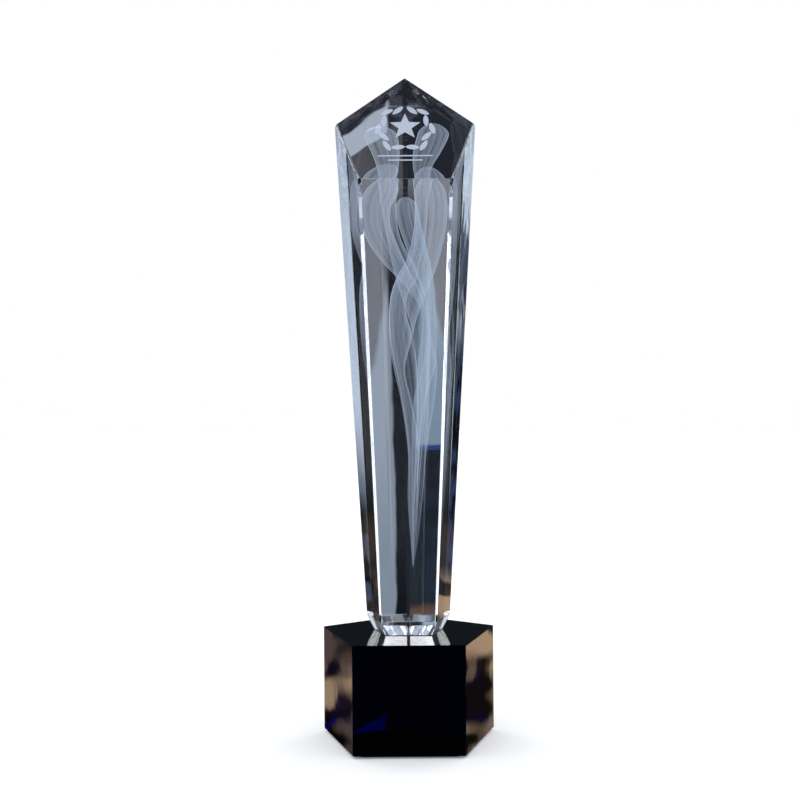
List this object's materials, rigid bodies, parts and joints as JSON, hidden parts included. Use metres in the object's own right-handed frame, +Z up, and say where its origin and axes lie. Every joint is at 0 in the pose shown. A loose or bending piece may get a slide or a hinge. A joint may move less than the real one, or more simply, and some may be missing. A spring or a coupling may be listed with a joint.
{
  "type": "crystal award",
  "caption": "Tall tapered clear-crystal column with a slanted top, bonded upright on a dark blue crystal block with felt underneath.",
  "frame": {"origin": "middle of the felt's underside, on the surface that the award stands on", "axes": "+Z up along the column, -Y towards the viewer in front, +X to the viewer's right"},
  "size_m": [0.0766, 0.0729, 0.3],
  "materials": {
    "clear_crystal": "polished",
    "clear_adhesive": "cured clear, smooth",
    "cobalt_crystal": "polished",
    "felt": "pressed felt"
  },
  "bodies": {
    "root": {"crystal_column": "clear_crystal", "adhesive_film": "clear_adhesive", "base_block": "cobalt_crystal", "base_felt": "felt"}
  },
  "joints": []
}
